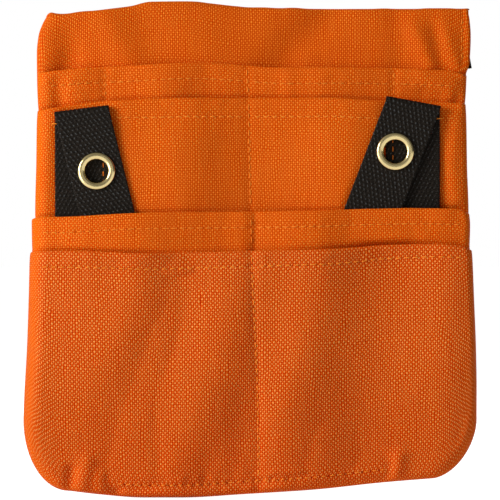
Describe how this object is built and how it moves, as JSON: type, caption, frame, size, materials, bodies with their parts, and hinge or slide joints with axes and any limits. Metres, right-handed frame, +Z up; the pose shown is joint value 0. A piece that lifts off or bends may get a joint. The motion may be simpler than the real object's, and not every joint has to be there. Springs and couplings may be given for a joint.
{
  "type": "tool pouch",
  "caption": "Flat cloth tool pouch with stacked front pockets divided down the middle, hung by webbing tabs with eyelets that fold over the front.",
  "frame": {"origin": "middle of the pouch's flat back face, half way between the lowest point of the bottom edge and the top fold", "axes": "+Z up towards the top fold, -Y out of the front (the pockets and straps), +Y out of the flat back, +X to the viewer's right when facing the front"},
  "size_m": [0.209, 0.0255, 0.2278],
  "materials": {
    "shell_cloth": "plain-weave coated polyester, satin",
    "pocket_cloth": "plain-weave coated polyester, satin",
    "webbing": "woven webbing, matte black",
    "eyelet_metal": "pale brass plating, polished",
    "thread": "twisted polyester thread"
  },
  "bodies": {
    "pouch": {"back_panel": "shell_cloth", "upper_rear_pocket": "pocket_cloth", "upper_front_pocket": "pocket_cloth", "lower_rear_pocket": "pocket_cloth", "lower_front_pocket": "pocket_cloth", "left_strap_anchor": "webbing", "right_strap_anchor": "webbing", "side_webbing_end": "webbing", "upper_rear_hem_thread": "thread", "upper_front_hem_thread": "thread", "lower_rear_hem_thread": "thread", "lower_front_hem_thread": "thread", "divider_thread": "thread", "left_strap_thread": "thread", "right_strap_thread": "thread", "bottom_thread": "thread", "fold_end_thread": "thread"},
    "left_tab": {"left_strap_tab": "webbing", "left_eyelet": "eyelet_metal", "left_eyelet_washer": "eyelet_metal"},
    "right_tab": {"right_strap_tab": "webbing", "right_eyelet": "eyelet_metal", "right_eyelet_washer": "eyelet_metal"}
  },
  "joints": [
    {"name": "left_tab_fold", "type": "hinge", "parent": "pouch", "child": "left_tab", "pos_m": [-0.0775, -0.01512, 0.064], "axis": [-0.9924, 0, -0.1227], "range_deg": [0, 175]},
    {"name": "right_tab_fold", "type": "hinge", "parent": "pouch", "child": "right_tab", "pos_m": [0.0751, -0.01512, 0.0675], "axis": [-0.9833, 0, 0.1822], "range_deg": [0, 175]}
  ]
}
